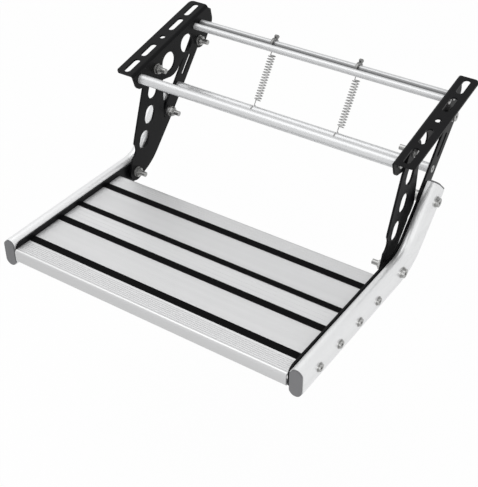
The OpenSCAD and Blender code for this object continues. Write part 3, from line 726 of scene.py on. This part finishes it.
class STEP_OT_tread(bpy.types.Operator):
    """Model the ribbed tread and its grip strips, in satin aluminium and rubber, with painted shade in the
    tread's grooves
    """
    bl_idname = "step.tread"
    bl_label = "Tread and Grips"

    def execute(self, context):
        chosen = context.scene.step_finish
        sizes = context.scene.step_tread
        finish = satin_aluminium("Tread Aluminium", chosen.tread, *TREAD_LOOK)
        # Painted shade in the tread's grooves: the colour fades to 0.8 of itself from 0.2 to 0.8 mm below
        # the rib tops
        paint_shade_below(finish, chosen.tilt, chosen.top, GROOVE_SHADE, 0.8)
        grip = rubber()
        sections = [("tread", "ribbed_tread", tread_outline(sizes), 0.0, finish, "aluminium")]
        for name, (rear, width) in zip(GRIP_NODES, STRIPS):
            sections.append((name, name + "_rubber", strip_outline(sizes, width), rear, grip, "grip"))
        for replaced, name, section, rear, paint, slot in sections:
            outline = [(-forward, up) for forward, up in section]
            piece = merge([plate(name + "_section", outline, 2 * sizes.half, 0)], name)
            lay_on_step(piece, sizes, chosen.tilt, rear)
            piece.data.materials.append(paint)
            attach(piece, "step")
            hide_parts(replaced)
        deselect()
        return {"FINISHED"}


class STEP_OT_rails(bpy.types.Operator):
    """Give the side rails their satin aluminium and the caps their grey plastic"""
    bl_idname = "step.rails"
    bl_label = "Rails and Caps"

    def execute(self, context):
        chosen = context.scene.step_finish
        wear(RAIL_NODES, satin_aluminium("Rail Aluminium", chosen.rail, *RAIL_LOOK))
        wear(CAP_NODES, moulded_plastic())
        return {"FINISHED"}


class STEP_OT_bars(bpy.types.Operator):
    """Give the bars between the sides their bare aluminium, with painted shade on the spring bar's lower
    front side
    """
    bl_idname = "step.bars"
    bl_label = "Bars"

    def execute(self, context):
        chosen = context.scene.step_finish
        springs = context.scene.step_springs
        wear(TUBE_NODES, satin_aluminium("Tube Aluminium", chosen.tube, *TUBE_LOOK))
        shaded = satin_aluminium(
            "Spring Bar Aluminium Painted Shade", [c * BAR_TINT for c in chosen.tube], *TUBE_LOOK)
        # Painted shade on the spring bar's lower front side, the side away from up and back
        centre = springs.bar_y * math.sin(BAR_TURN) - springs.bar_drop * math.cos(BAR_TURN)
        paint_shade_below(shaded, BAR_TURN, centre, [springs.bar * part for part in BAR_SHADE], BAR_SHADE_SHARE)
        wear(("spring_bar",), shaded)
        return {"FINISHED"}


class STEP_OT_fasteners(bpy.types.Operator):
    """Give bolts, nuts and screws their zinc plate"""
    bl_idname = "step.fasteners"
    bl_label = "Fasteners"

    def execute(self, context):
        chosen = context.scene.step_finish
        wear(SCREW_NODES + BOLT_NODES, zinc_plate("Zinc Plate", chosen.zinc))
        return {"FINISHED"}


class STEP_OT_springs(bpy.types.Operator):
    """Model both tension springs in round wire, each with a punched ring above and a loop below"""
    bl_idname = "step.springs"
    bl_label = "Springs"

    def execute(self, context):
        sizes = context.scene.step_springs
        chosen = context.scene.step_finish
        finish = zinc_plate("Spring Wire", chosen.spring)
        dull = zinc_plate("Hook Plate", chosen.hook)
        for name, x in (("left_spring", -sizes.left_x), ("right_spring", sizes.right_x)):
            hung = (Matrix.Translation((x, sizes.bar_y, -sizes.bar_drop))
                    @ Matrix.Rotation(sizes.lean, 4, "X"))
            coil = build_coil(sizes, name + "_wire")
            high = build_ring(sizes, name + "_hook")
            low = build_loop(sizes, name + "_loop")
            for piece, body, paint, shift in ((coil, "springs", finish, 0.0),
                                              (high, "base", dull, 0.0),
                                              (low, "rear_arms", finish, sizes.length)):
                piece.matrix_world = hung @ Matrix.Translation((0, shift, 0))
                settle(piece)
                piece.data.materials.append(paint)
                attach(piece, body)
            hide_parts(name)
            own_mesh(coil)
        deselect()
        return {"FINISHED"}


class STEP_OT_stage(bpy.types.Operator):
    """Set up the pale floor, the soft lamps, the world and the camera"""
    bl_idname = "step.stage"
    bl_label = "Stage"

    def execute(self, context):
        sizes = context.scene.step_stage
        deselect()
        bpy.ops.mesh.primitive_plane_add(size=FLOOR_SIZE, location=(0, 0, -sizes.floor_drop))
        floor = context.view_layer.objects.active
        floor.name = "floor"
        settle(floor)
        floor.data.materials.append(floor_finish(sizes.floor))
        lamp("Key", *KEY_LAMP, sizes.key)
        lamp("Fill", *FILL_LAMP, sizes.fill)
        context.scene.world = pale_world()
        context.scene.view_settings.view_transform = "Standard"
        place_camera(context, sizes)
        return {"FINISHED"}


class STEP_PT_panel(bpy.types.Panel):
    """Lists the sizes, colours and operators of the entry step"""
    bl_idname = "STEP_PT_panel"
    bl_label = "Entry Step"
    bl_space_type = "VIEW_3D"
    bl_region_type = "UI"
    bl_category = "Entry Step"

    def draw(self, context):
        layout = self.layout
        for group in (context.scene.step_finish, context.scene.step_tread, context.scene.step_springs,
                      context.scene.step_stage):
            box = layout.box()
            for key in group.__annotations__:
                box.prop(group, key)
        for operator in OPERATORS:
            layout.operator(operator.bl_idname)


OPERATORS = (STEP_OT_steel, STEP_OT_tread, STEP_OT_rails, STEP_OT_bars, STEP_OT_fasteners,
             STEP_OT_springs, STEP_OT_stage)
GROUPS = (STEP_PG_finish, STEP_PG_tread, STEP_PG_springs, STEP_PG_stage)


def register():
    for item in GROUPS + OPERATORS + (STEP_PT_panel,):
        bpy.utils.register_class(item)
    bpy.types.Scene.step_finish = bpy.props.PointerProperty(type=STEP_PG_finish)
    bpy.types.Scene.step_tread = bpy.props.PointerProperty(type=STEP_PG_tread)
    bpy.types.Scene.step_springs = bpy.props.PointerProperty(type=STEP_PG_springs)
    bpy.types.Scene.step_stage = bpy.props.PointerProperty(type=STEP_PG_stage)


def unregister():
    del bpy.types.Scene.step_finish
    del bpy.types.Scene.step_tread
    del bpy.types.Scene.step_springs
    del bpy.types.Scene.step_stage
    for item in reversed(GROUPS + OPERATORS + (STEP_PT_panel,)):
        bpy.utils.unregister_class(item)


def main():
    register()
    deselect()
    bpy.ops.step.steel()
    bpy.ops.step.tread()
    bpy.ops.step.rails()
    bpy.ops.step.bars()
    bpy.ops.step.fasteners()
    bpy.ops.step.springs()
    bpy.ops.step.stage()


if __name__ == "__main__":
    main()
